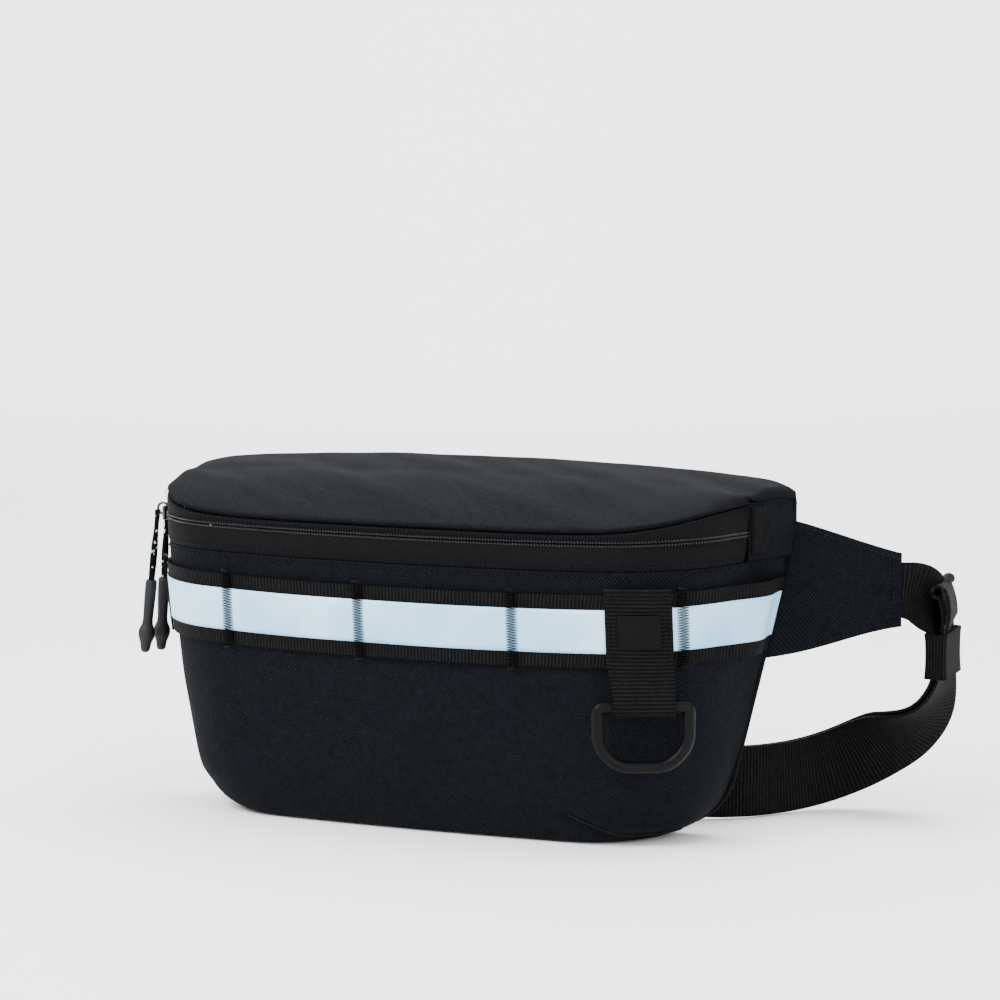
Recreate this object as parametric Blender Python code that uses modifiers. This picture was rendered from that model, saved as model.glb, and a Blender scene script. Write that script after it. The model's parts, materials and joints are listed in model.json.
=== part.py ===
"""Waist pack: a zipped pouch with a webbing band, a D-ring, two wings and a buckled waist belt.

The front faces -Y, the wearer is at +Y and the origin is the centre of the flat base.
Lengths below are millimetres, and every mesh is scaled to metres when it is made.
"""
import math

import bmesh
import bpy
from mathutils import Matrix, Vector

MM = 0.001
UP = Vector((0, 0, 1))

# Pouch outline: half-widths and depths at the base, and what they gain up to the zip line
ZIP_Z = 157.0
BASE_BACK_HALF = 147.0
BACK_HALF_GAIN = 30.0
BASE_FRONT_HALF = 160.0
FRONT_HALF_GAIN = -3.0
BASE_FRONT_Y = -35.0
FRONT_Y_GAIN = -13.0
BASE_BACK_Y = 28.0
BACK_Y_GAIN = 26.0
CORNER_R = 50.0
FRONT_BOW = 8.0
BOTTOM_R = 30.0
SIDE_TUCK = 34.0
FRONT_TUCK = 13.0
BACK_TUCK = 6.0

# Walls
FABRIC = 1.8
WALL_FOOT = 2.8
WALL_TOP = 143.0
BASE_T = 2.4
OUTLINE_POINTS = 41
GAP = 0.4

# Lid and zip, and the line that the lid turns about
ZIP_LIFT = 3.0
BAND_LIFT = 4.6
LID_RIM = 162.4
LID_RIM_RISE = 14.0
FOLD_Y = 14.0
FOLD_Z = 183.5
BACK_TOP_Z = 190.0
LID_T = 2.0
ZIP_END = 42.0
COIL_H = 1.4
COIL_T = 2.0
LID_AXIS = (0.0, FOLD_Y, FOLD_Z + LID_T + 0.2)

# Webbing
BAND_BOTTOM = 93.5
BAND_TOP = 131.0
WEBBING = 1.5
BAND_OUT = 1.6
LOOP_OUT = 8.0
LOOP_END = 58.0
TAPE_BOTTOM = 101.0
TAPE_TOP = 123.5

# Tab and D-ring
TAB_FROM_MIDDLE = 134.0
TAB_W = 36.0
TAB_TOP = 136.0
RING_BAR_OUT = 7.0
RING_BAR_Z = 76.0
RING_WIRE = 3.2
RING_HALF_W = 23.5
RING_DROP = 31.0

# Sliders and pulls, measured along the wall from its left back edge
SLIDER_Z = 160.6
FRONT_SLIDER_AT = 61.0
REAR_SLIDER_AT = 47.0
SLIDER_OUT = 4.3
BRIDGE_OUT = 9.4
CORD_R = 2.6
CORD_L = 38.0
TIP_L = 41.0
CORNER_AXIS = (-109.61, 4.42, SLIDER_Z)

# Belt
BELT_W = 38.0
BELT_Z = 24.5
STANDING_Y = 60.4
TAIL_Y = 52.0
BUCKLE_Y = (STANDING_Y + TAIL_Y) / 2
STRAP_END_X = 44.0
LOOP_HALF = 2.4
LOOP_END_X = 52.0
BAR_X = 24.0
LEFT_BAR_X = -42.5
TAIL_GAP = 3.0


def material(name, colour, roughness, metallic=0.0):
    """A Principled material."""
    made = bpy.data.materials.new(name)
    made.use_nodes = True
    shader = made.node_tree.nodes["Principled BSDF"]
    shader.inputs["Base Color"].default_value = (*colour, 1.0)
    shader.inputs["Roughness"].default_value = roughness
    shader.inputs["Metallic"].default_value = metallic
    return made


def collection(name):
    made = bpy.data.collections.new(name)
    bpy.context.scene.collection.children.link(made)
    return made


def add(name, mesh, colour, roughness, origin=(0, 0, 0)):
    """An object of this mesh, which is in millimetres, with its origin at the given point."""
    mesh.transform(Matrix.Scale(MM, 4) @ Matrix.Translation(-Vector(origin)))
    mesh.materials.append(material(name, colour, roughness))
    mesh.shade_smooth()
    mesh.set_sharp_from_angle(angle=math.radians(35))
    made = bpy.data.objects.new(name, mesh)
    made.location = Vector(origin) * MM
    PARTS.objects.link(made)
    return made


def loft(name, rows, thickness, colour, roughness, side=0.0, origin=(0, 0, 0)):
    """A sheet through rows of points, thickened. side -1 thickens it to the inside of its normal."""
    form = bmesh.new()
    grid = [[form.verts.new(point) for point in row] for row in rows]
    for low, high in zip(grid, grid[1:]):
        for i in range(len(low) - 1):
            form.faces.new((low[i], low[i + 1], high[i + 1], high[i]))
    mesh = bpy.data.meshes.new(name)
    form.to_mesh(mesh)
    form.free()
    made = add(name, mesh, colour, roughness, origin)
    shell = made.modifiers.new("Cloth thickness", "SOLIDIFY")
    shell.thickness = thickness * MM
    shell.offset = side
    return made


def box(name, low, high, colour, roughness, bevel=0.6, origin=(0, 0, 0), place=None):
    """A bevelled box between two corners, moved by place."""
    form = bmesh.new()
    bmesh.ops.create_cube(form, size=1.0)
    size = Vector(high) - Vector(low)
    middle = (Vector(high) + Vector(low)) / 2
    shape = Matrix.Translation(middle) @ Matrix.Diagonal((*size, 1))
    bmesh.ops.transform(form, matrix=shape, verts=form.verts)
    if bevel:
        bmesh.ops.bevel(form, geom=form.edges, offset=bevel, segments=1, affect="EDGES", profile=0.5)
    if place:
        bmesh.ops.transform(form, matrix=place, verts=form.verts)
    mesh = bpy.data.meshes.new(name)
    form.to_mesh(mesh)
    form.free()
    return add(name, mesh, colour, roughness, origin)


def level(z):
    """The pouch at height z: half-widths at the back and front, and the front's and back's Y."""
    rise = min(z / ZIP_Z, 1.0)
    low = max(0.0, 1.0 - z / BOTTOM_R)
    tuck = 1.0 - math.sqrt(1.0 - low * low)
    back_half = BASE_BACK_HALF + BACK_HALF_GAIN * rise - SIDE_TUCK * tuck
    front_half = BASE_FRONT_HALF + FRONT_HALF_GAIN * rise - SIDE_TUCK * tuck
    front = BASE_FRONT_Y + FRONT_Y_GAIN * rise + FRONT_TUCK * tuck
    back = BASE_BACK_Y + BACK_Y_GAIN * rise - BACK_TUCK * tuck
    return back_half, front_half, front, back


def corner_arc(z):
    """The right front corner's arc: its centre, radius, and first and last angles from +X."""
    back_half, front_half, front, back = level(z)
    side = Vector((back_half - front_half, back - front))
    turn = math.atan2(side.y, side.x)
    slope = math.tan((math.pi - turn) / 2)
    radius = min(CORNER_R, 0.9 * side.length * slope)
    centre = Vector((front_half - radius / slope, front + radius))
    return centre, radius, turn - math.pi / 2, -math.pi / 2


def right_half(z):
    """The outline's right half, from the back edge round to the middle of the front."""
    back_half, front_half, front, back = level(z)
    centre, radius, first, last = corner_arc(z)
    points = [Vector((back_half, back))]
    for step in range(25):
        angle = first + (last - first) * step / 24
        points.append(centre + Vector((math.cos(angle), math.sin(angle))) * radius)
    points += [Vector((points[-1].x * (1 - step / 12), front)) for step in range(1, 13)]
    for point in points:
        point.y -= FRONT_BOW * max(0.0, 1.0 - (point.x / front_half) ** 2)
    return points


def at_length(points, length):
    """The point and the direction at this length along a line of points."""
    for here, there in zip(points, points[1:]):
        step = (there - here).length
        if length <= step or there is points[-1]:
            return here + (there - here) * (length / step), (there - here) / step
        length -= step


def length_of(points):
    return sum((b - a).length for a, b in zip(points, points[1:]))


def on_wall(along, z, out=0.0, left=False):
    """The point on the wall this far from its back edge, moved out from it, with the wall's axes."""
    points = right_half(z)
    whole = length_of(points)
    far = along > whole
    spot, run = at_length(points, 2 * whole - along if far else along)
    normal = Vector((-run.y, run.x))
    flip = -1 if far != left else 1
    place = spot + normal * out
    return Vector((place.x * flip, place.y, z)), Vector((normal.x * flip, normal.y, 0))


def lifted(x, z, lift):
    """Lines round the tapering pouch rise towards its sides."""
    return z + lift * (abs(x) / (BASE_BACK_HALF + BACK_HALF_GAIN)) ** 2.5


def wall_row(z, out, start, points, lift=0.0, bump=0.0):
    """One row round the wall, from the right back edge to the left one."""
    row = []
    whole = 2 * length_of(right_half(z))
    for i in range(points):
        along = start + (whole - 2 * start) * i / (points - 1)
        near = min(along, whole - along)
        loop = bump * math.sin(math.pi * min(near / LOOP_END, 1.0)) ** 2
        spot, _ = on_wall(along, z, out + loop)
        row.append(Vector((spot.x, spot.y, lifted(spot.x, z, lift))))
    return row


def rim_z(x):
    """Height of the lid's rim, which climbs towards the zip's ends."""
    return LID_RIM + LID_RIM_RISE * (abs(x) / 170) ** 6


def back_edge_z(x):
    return BACK_TOP_Z - 7.0 * (abs(x) / 175) ** 2.5


def fold_z(x):
    return FOLD_Z - 5.0 * (abs(x) / 170) ** 2.5


def pouch():
    """Wrapped front wall, base, gussets behind the zip's ends, lining and back panel."""
    cloth = (0.008, 0.010, 0.014)
    heights = (WALL_FOOT, 5.0, 9.0, 15.0, 22.0, 30.0, 62.0, 100.0)
    rows = [wall_row(z, 0.0, 0.0, OUTLINE_POINTS) for z in heights]
    rows.append(wall_row(WALL_TOP, 0.0, 0.0, OUTLINE_POINTS, ZIP_LIFT))
    loft("front_wall", rows[::-1], FABRIC, cloth, 0.8, -1.0)

    deep = -FABRIC - 1.4
    rows = [wall_row(z, deep, 12.0, OUTLINE_POINTS) for z in (16.0, 22.0, 30.0, 62.0, 100.0)]
    rows.append(wall_row(WALL_TOP - 2, deep, 12.0, OUTLINE_POINTS, ZIP_LIFT))
    loft("lining", rows[::-1], 0.6, (0.05, 0.05, 0.055), 0.7, -1.0)

    plate = bpy.data.curves.new("base_panel", "CURVE")
    plate.dimensions = "2D"
    plate.fill_mode = "BOTH"
    plate.extrude = BASE_T * MM / 2
    outline = wall_row(1.6, 0.0, 0.0, 33)[::-1]
    spline = plate.splines.new("POLY")
    spline.points.add(len(outline) - 1)
    spline.use_cyclic_u = True
    for point, spot in zip(spline.points, outline):
        point.co = (spot.x * MM, spot.y * MM, 0, 1)
    plate.materials.append(material("base_panel", cloth, 0.8))
    base = bpy.data.objects.new("base_panel", plate)
    base.location.z = BASE_T * MM / 2
    PARTS.objects.link(base)

    for side, flip in (("right", 1), ("left", -1)):
        rows = []
        for share in (0.0, 0.5, 1.0):
            row = []
            for step in range(6):
                along = 0.4 + (ZIP_END - 1) * step / 5
                spot, _ = on_wall(along, ZIP_Z, 0.0)
                low = lifted(spot.x, WALL_TOP, ZIP_LIFT) + GAP
                behind = min(max((spot.y - FOLD_Y) / (level(ZIP_Z)[3] - FOLD_Y), 0.0), 1.0)
                high = fold_z(spot.x) + (back_edge_z(spot.x) - fold_z(spot.x)) * behind
                high -= 0.5 + 2.1 * (1 - behind)
                row.append(Vector((spot.x * flip, spot.y, low + (high - low) * share)))
            rows.append(row)
        loft(f"{side}_gusset", rows[::-flip], FABRIC, cloth, 0.8, -1.0)

    layers = (
        ("back_panel", 0.0, 2.0, 4.0, cloth),
        ("back_foam", 2.4, 6.0, 8.0, (0.10, 0.10, 0.11)),
        ("back_lining", 8.8, 0.8, 9.0, (0.05, 0.05, 0.055)),
    )
    for name, deep, thick, inset, colour in layers:
        rows = []
        for share in (0.0, 0.05, 0.13, 0.3, 0.55, 0.83, 1.0):
            row = []
            for step in range(13):
                across = -1 + step / 6
                z = WALL_FOOT + 2.0
                z += share * (back_edge_z(across * 170) - LID_T - 1.2 - z)
                half = level(z)[0] - inset
                row.append(Vector((across * half, level(z)[3] - deep - thick / 2, z)))
            rows.append(row)
        loft(name, rows, thick, colour, 0.85)


def zip_parts():
    """Tapes and coils, their end patches, and the lid that they free."""
    tape = (0.012, 0.012, 0.013)
    coil = (0.02, 0.02, 0.022)
    split = ZIP_Z + 0.4

    def strip(name, low, high, thick, out, colour, origin=(0, 0, 0)):
        rows = [wall_row(z, out, ZIP_END, 41, ZIP_LIFT) for z in (low, high)]
        loft(name, rows[::-1], thick, colour, 0.75, origin=origin)

    strip("lower_zip_tape", WALL_TOP + GAP, split - COIL_H - 2 * GAP, 0.8, -0.9, tape)
    strip("lower_zip_coil", split - GAP / 2 - COIL_H, split - GAP / 2, COIL_T, -0.4, coil)
    top = split + GAP / 2 + COIL_H
    strip("upper_zip_coil", split + GAP / 2, top, COIL_T, -0.4, coil, LID_AXIS)

    low = wall_row(split + COIL_H + 2 * GAP, -0.9, ZIP_END, 41, ZIP_LIFT)
    high = [Vector((spot.x, spot.y, rim_z(spot.x) - GAP)) for spot in low]
    loft("upper_zip_tape", [high, low], 0.8, tape, 0.75, origin=LID_AXIS)

    rim = wall_row(ZIP_Z, -1.0, ZIP_END, 41)
    rows = []
    for step in range(8):
        share = step / 7
        row = []
        for spot in rim:
            back = Vector((spot.x, FOLD_Y - 0.3))
            front = Vector((spot.x, spot.y))
            flat = front.lerp(back, share)
            start = rim_z(spot.x) + 0.2
            z = start + (fold_z(spot.x) - start) * (1 - (1 - share) ** 1.6)
            row.append(Vector((flat.x, flat.y, z)))
        rows.append(row)
    loft("top_panel", rows, LID_T, (0.008, 0.010, 0.014), 0.8, -1.0, LID_AXIS)

    rows = []
    for step in range(5):
        y = FOLD_Y + 0.3 + (level(ZIP_Z)[3] - FOLD_Y - 0.3) * step / 4
        row = []
        for column in range(21):
            across = 1 - column / 10
            share = step / 4
            x = across * (168.5 + 7.5 * share)
            rise = (back_edge_z(x) - fold_z(x)) * share ** 0.8
            row.append(Vector((x, y, fold_z(x) + rise)))
        rows.append(row)
    loft("top_rear_panel", rows, LID_T, (0.008, 0.010, 0.014), 0.8, -1.0)

    for side, flip in (("right", 1), ("left", -1)):
        rows = []
        for z in (150.0, 163.0, 174.0):
            row = []
            for step in range(4):
                spot, _ = on_wall(ZIP_END - 14 + 4 * step, ZIP_Z, 1.3)
                row.append(Vector((spot.x * flip, spot.y, z)))
            rows.append(row)
        loft(f"{side}_zip_end", rows[::-flip], 1.2, tape, 0.8)


def band_parts():
    """The webbing band, which stands off as a loop at each side, and its reflective tape."""
    middle = (BAND_BOTTOM + BAND_TOP) / 2
    heights = (BAND_TOP, middle, BAND_BOTTOM)
    rows = [wall_row(z, BAND_OUT, 1.0, 61, BAND_LIFT, LOOP_OUT) for z in heights]
    loft("webbing_band", rows, WEBBING, (0.014, 0.014, 0.014), 0.75)
    out = BAND_OUT + WEBBING / 2 + 0.5
    rows = [wall_row(z, out, 1.0, 61, BAND_LIFT, LOOP_OUT) for z in (TAPE_TOP, TAPE_BOTTOM)]
    loft("reflective_tape", rows, 0.3, (0.62, 0.74, 0.82), 0.35)


def right_of_middle(across, z, out=0.0):
    """The point on the wall this far to the right of the front's middle."""
    return on_wall(length_of(right_half(z)) - across, z, out)


def tab_frame():
    """A point on the wall behind the tab, the outward normal there and the direction to the right."""
    spot, normal = right_of_middle(TAB_FROM_MIDDLE, RING_BAR_Z)
    return spot, normal, UP.cross(normal)


def tab_parts():
    """Webbing tab folded round the ring's bar, its label patch, and the D-ring."""
    spot, normal, across = tab_frame()
    wrap = RING_WIRE + 1.4
    path = [(4.6, TAB_TOP), (4.6, 118.0), (4.6, 99.0), (8.0, 90.0)]
    path.append((RING_BAR_OUT + wrap, 81.0))
    for step in range(7):
        turn = -math.pi * step / 6
        path.append((RING_BAR_OUT + wrap * math.cos(turn), RING_BAR_Z + wrap * math.sin(turn)))
    path += [(RING_BAR_OUT - wrap, 81.0), (RING_BAR_OUT - wrap - 0.2, 91.5)]

    def tab_point(side, out, z):
        """Follows the wall at the top and lies straight across at the ring."""
        curved, _ = right_of_middle(TAB_FROM_MIDDLE + side, z, out)
        straight = spot + normal * out + across * side
        share = min(max((z - 86.0) / 12.0, 0.0), 1.0)
        return Vector((*straight.xy.lerp(curved.xy, share), z))

    sides = [-TAB_W / 2 + TAB_W * step / 6 for step in range(7)]
    rows = [[tab_point(side, out, z) for side in sides] for out, z in path]
    loft("ring_tab", rows, WEBBING, (0.013, 0.013, 0.013), 0.75)
    sides = [-11.0 + 22.0 * step / 4 for step in range(5)]
    rows = [[tab_point(side, 6.3, z) for side in sides] for z in (123.0, 106.0)]
    loft("label_patch", rows, 0.8, (0.012, 0.012, 0.012), 0.7)

    bar = spot + normal * RING_BAR_OUT
    half = RING_HALF_W
    path = [(-half, 0), (half, 0), (half, -13.0), (half - 2.5, -19.5), (half - 9.0, -26.0)]
    path += [(8.0, -RING_DROP + 0.7), (0, -RING_DROP), (-8.0, -RING_DROP + 0.7)]
    path += [(9.0 - half, -26.0), (2.5 - half, -19.5), (-half, -13.0)]
    ring = bpy.data.curves.new("d_ring", "CURVE")
    ring.dimensions = "3D"
    ring.bevel_depth = RING_WIRE * MM
    ring.bevel_resolution = 2
    spline = ring.splines.new("POLY")
    spline.points.add(len(path) - 1)
    spline.use_cyclic_u = True
    for point, (side, drop) in zip(spline.points, path):
        point.co = (*(across * side + UP * drop) * MM, 1)
    ring.materials.append(material("d_ring", (0.01, 0.01, 0.011), 0.45))
    made = bpy.data.objects.new("d_ring", ring)
    made.location = bar * MM
    PARTS.objects.link(made)


def slider_place(along):
    """Axes of a slider on the left side's zip: X along the zip, Y out from the wall, Z up."""
    spot, normal = on_wall(along, ZIP_Z, 0.0, left=True)
    run = normal.cross(UP)
    place = Matrix((run, normal, UP)).transposed().to_4x4()
    place.translation = (spot.x, spot.y, SLIDER_Z)
    return place


def slider(name, place, origin):
    """A slider's body with the bridge that its pull hangs from."""
    low = (-5.0, SLIDER_OUT - 1.0, -6.2)
    high = (5.0, SLIDER_OUT + 1.0, 1.8)
    body = box(f"{name}_slider", low, high, (0.02, 0.02, 0.022), 0.4, 0.6, origin, place)
    bpy.ops.mesh.primitive_torus_add(
        major_segments=16, minor_segments=6, major_radius=3.0 * MM, minor_radius=0.75 * MM)
    bridge = bpy.context.object
    bridge.name = f"{name}_bridge_union"
    for owner in list(bridge.users_collection):
        owner.objects.unlink(bridge)
    CUTTERS.objects.link(bridge)
    shift = place @ Matrix.Translation((0, BRIDGE_OUT - 3.0, 0))
    shift.translation *= MM
    bridge.matrix_world = shift
    bridge.hide_render = True
    bridge.display_type = "WIRE"
    joined = body.modifiers.new("Bridge", "BOOLEAN")
    joined.operation = "UNION"
    joined.object = bridge


def pull(name, along, lean, slider_origin):
    """A slider, and the cord and moulded tip that hang from its bridge."""
    place = slider_place(along)
    slider(name, place, slider_origin)
    swing = Matrix.Rotation(math.radians(lean), 3, place.col[0].to_3d())
    down = swing @ -UP
    pivot = bpy.data.objects.new(f"{name}_pull_axis", None)
    pivot.location = (place @ Vector((0, BRIDGE_OUT, 0))) * MM
    PARTS.objects.link(pivot)

    cord = bpy.data.curves.new(f"{name}_pull_cord", "CURVE")
    cord.dimensions = "3D"
    cord.bevel_depth = CORD_R * MM
    cord.bevel_resolution = 2
    cord.use_fill_caps = True
    spline = cord.splines.new("POLY")
    spline.points.add(4)
    for step, point in enumerate(spline.points):
        point.co = (*down * (1.4 + CORD_L * step / 4) * MM, 1)
    cord.materials.append(material(f"{name}_pull_cord", (0.015, 0.015, 0.016), 0.7))
    made = bpy.data.objects.new(f"{name}_pull_cord", cord)
    made.parent = pivot
    PARTS.objects.link(made)

    profile = [(0, 0), (3.4, 0.4), (3.1, 16.0), (2.7, 24.0), (4.8, 28.0), (4.8, 32.0)]
    profile += [(3.0, 36.0), (2.8, TIP_L - 1), (0, TIP_L)]
    mesh = bpy.data.meshes.new(f"{name}_pull_tip")
    edges = [(i, i + 1) for i in range(len(profile) - 1)]
    mesh.from_pydata([(r * MM, 0, -d * MM) for r, d in profile], edges, [])
    mesh.materials.append(material(f"{name}_pull_tip", (0.022, 0.020, 0.020), 0.6))
    tip = bpy.data.objects.new(f"{name}_pull_tip", mesh)
    turn = tip.modifiers.new("Turned", "SCREW")
    turn.steps = 12
    turn.render_steps = 12
    turn.use_merge_vertices = True
    turn.merge_threshold = 0.00001
    tip.parent = pivot
    tip.matrix_local = Matrix.Translation(down * (CORD_L + 1.8) * MM) @ swing.to_4x4()
    PARTS.objects.link(tip)


def wings():
    """Padded wings sewn to the back edges, narrowing to the belt's width."""
    routes = {
        "right": [(179.6, 56.0), (189.0, 65.5), (204.5, 81.5), (220.0, 97.5)],
        "left": [(-179.6, 56.0), (-181.5, 71.0), (-181.5, 91.0), (-179.0, 112.0)],
    }
    middles = (128.0, 128.2, 127.2, 125.5)
    halves = (36.0, 31.0, 24.5, 19.6)
    for side, route in routes.items():
        flip = 1 if side == "right" else -1
        rows = []
        for (x, y), middle, half in zip(route, middles, halves):
            heights = [middle + half * (step / 3 - 1) for step in range(7)]
            rows.append([Vector((x, y, z)) for z in heights])
        for spot in rows[0]:
            spot.x = flip * (level(spot.z)[0] + 2.6)
            spot.y = level(spot.z)[3] + 2.2
        loft(f"{side}_wing", rows, 6.0, (0.009, 0.011, 0.015), 0.8)


def smooth(stations, steps):
    """A curve through the stations (Catmull-Rom), as points in space with their width directions."""
    made = []
    ends = [stations[0], *stations, stations[-1]]
    for i in range(len(stations) - 1):
        a, b, c, d = ends[i:i + 4]
        for step in range(steps):
            t = step / steps
            made.append([
                0.5 * (2 * q + (r - p) * t + (2 * p - 5 * q + 4 * r - s) * t * t
                       + (3 * q - p - 3 * r + s) * t ** 3)
                for p, q, r, s in zip(a, b, c, d)])
    made.append(list(stations[-1]))
    return [(Vector(one[:3]), Vector(one[3:]).normalized()) for one in made]


def squared(route):
    """Turns each width direction square to the route, and adds the direction of the outer face."""
    made = []
    for i, (spot, wide) in enumerate(route):
        ahead = route[min(i + 1, len(route) - 1)][0] - route[max(i - 1, 0)][0]
        ahead.normalize()
        wide = (wide - ahead * wide.dot(ahead)).normalized()
        made.append((spot, wide, ahead.cross(wide)))
    return made


def ribbon(name, centres, thickness):
    rows = []
    for spot, wide in centres:
        rows.append([spot + wide * BELT_W * (step / 4 - 0.5) for step in range(5)])
    return loft(name, rows, thickness, (0.014, 0.014, 0.015), 0.75)


def round_bar(x, way, radius):
    """Half a turn of webbing round a buckle bar, from the wearer's side to the outer side."""
    turns = [math.pi * step / 6 for step in range(7)]
    return [(Vector((x + way * radius * math.sin(t), BUCKLE_Y + radius * math.cos(t), BELT_Z)), UP)
            for t in turns]


RIGHT_STATIONS = (
    (222.7, 100.4, 125.0, 0, 0, 1),
    (226.8, 107.0, 123.0, 0.2, 0.3, 0.9),
    (230.2, 114.5, 117.5, 0.2, 0.7, 0.65),
    (232.3, 120.5, 109.5, -0.05, 0.97, 0.2),
    (233.1, 123.5, 99.5, -0.05, 1, 0),
    (233.0, 124.0, 86.0, 0, 1, 0),
    (231.0, 125.0, 73.0, 0, 1, -0.15),
    (224.0, 127.5, 59.0, 0, 0.9, -0.4),
    (211.0, 131.0, 47.0, 0, 0.7, -0.7),
    (194.0, 134.0, 37.0, 0, 0.4, -0.9),
    (177.0, 132.0, 28.0, 0, 0.15, -0.99),
    (162.0, 121.0, 22.0, 0, 0, -1),
    (150.0, 101.0, 19.8, 0, 0, -1),
    (137.0, 80.0, 19.8, 0, 0, -1),
    (118.0, 66.0, 20.5, 0, 0, -1),
    (102.0, 61.6, 23.5, 0, 0, -1),
    (88.0, STANDING_Y, BELT_Z, 0, 0, -1),
    (66.0, STANDING_Y, BELT_Z, 0, 0, -1),
    (STRAP_END_X, STANDING_Y, BELT_Z, 0, 0, -1),
)
TAIL_END = (
    (236.8, 123.5, 104.0, 0.05, 1, 0),
    (239.6, 122.5, 111.0, 0.15, 1, 0),
    (241.4, 121.5, 119.0, 0.2, 1, 0),
    (241.6, 120.5, 127.0, 0.2, 1, 0),
)
LEFT_STATIONS = (
    (-178.9, 115.6, 125.0, 0, 0, 1),
    (-178.5, 121.0, 123.5, 0.25, 0, 0.97),
    (-177.3, 127.5, 117.5, 0.7, 0, 0.7),
    (-175.5, 132.0, 107.0, 0.95, -0.2, 0.3),
    (-172.0, 134.0, 92.0, 0.95, -0.3, 0.3),
    (-159.0, 131.0, 67.0, 0.7, -0.5, 0.6),
    (-144.0, 123.0, 47.0, 0.4, -0.4, 0.85),
    (-124.0, 108.0, 30.0, 0.1, -0.1, 0.98),
    (-104.0, 86.0, 21.5, 0, 0, 1),
    (-84.0, 67.0, 22.5, 0, 0, 1),
    (-66.0, 61.0, BELT_Z, 0, 0, 1),
    (-54.0, STANDING_Y, BELT_Z, 0, 0, 1),
    (LEFT_BAR_X - 4.0, STANDING_Y, BELT_Z, 0, 0, 1),
)
KEEPER_STATION = (233.0, 123.8, 90.0)


def tail_side(spot):
    """How far the tail lies outside the strap: further apart where the loop slides between them."""
    share = min(max((112.0 - spot.x) / 22.0, 0.0), 1.0) if spot.y < 70.0 else 0.0
    return TAIL_GAP + (STANDING_Y - TAIL_Y - TAIL_GAP) * share


def belt():
    """The long strap and its tail, the loop round the plug's bar, the short strap and the keeper."""
    route = squared(smooth(RIGHT_STATIONS, 4))
    ribbon("belt_strap", [(spot, wide) for spot, wide, _ in route], WEBBING)
    tail = [(spot + out * tail_side(spot), wide) for spot, wide, out in route[17:]]
    ribbon("belt_tail", tail[::-1] + smooth(TAIL_END, 2), WEBBING)
    loop = round_bar(BAR_X, -1, LOOP_HALF)
    for x in (BAR_X + 10.0, LOOP_END_X):
        loop.insert(0, (Vector((x, BUCKLE_Y + LOOP_HALF, BELT_Z)), UP))
        loop.append((Vector((x, BUCKLE_Y - LOOP_HALF, BELT_Z)), UP))
    ribbon("belt_loop", loop, WEBBING)

    short = squared(smooth(LEFT_STATIONS, 3))
    centres = [(spot, wide) for spot, wide, _ in short]
    centres += round_bar(LEFT_BAR_X, 1, (STANDING_Y - TAIL_Y) / 2)
    centres += [(Vector((LEFT_BAR_X - back, TAIL_Y + rise, BELT_Z)), UP)
                for back, rise in ((6, 0.2), (12, 2.2), (20, 4.4))]
    ribbon("short_strap", centres, WEBBING)

    keeper = bpy.data.curves.new("elastic_keeper", "CURVE")
    keeper.dimensions = "2D"
    keeper.fill_mode = "BOTH"
    keeper.extrude = 12.0 * MM
    for half_w, half_t in ((23.6, 6.0), (21.8, 4.6)):
        spline = keeper.splines.new("POLY")
        spline.points.add(3)
        spline.use_cyclic_u = True
        corners = ((-1, -1), (1, -1), (1, 1), (-1, 1))
        for point, (a, b) in zip(spline.points, corners):
            point.co = (a * half_w * MM, b * half_t * MM, 0, 1)
    keeper.materials.append(material("elastic_keeper", (0.016, 0.016, 0.016), 0.8))
    made = bpy.data.objects.new("elastic_keeper", keeper)
    made.rotation_euler.z = math.pi / 2
    made.location = (Vector(KEEPER_STATION) + Vector((TAIL_GAP / 2, 0, 0))) * MM
    PARTS.objects.link(made)


def framed(name, blocks, colour, roughness, origin=(0, 0, 0)):
    """One solid from boxes that overlap, joined by Boolean unions."""
    first = box(name, *blocks[0], colour, roughness, 0.5, origin)
    for i, (low, high) in enumerate(blocks[1:]):
        other = box(f"{name}_union_{i}", low, high, colour, roughness, 0.0, origin)
        PARTS.objects.unlink(other)
        CUTTERS.objects.link(other)
        other.hide_render = True
        other.display_type = "WIRE"
        union = first.modifiers.new(f"Joined {i}", "BOOLEAN")
        union.operation = "UNION"
        union.object = other
    return first


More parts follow.
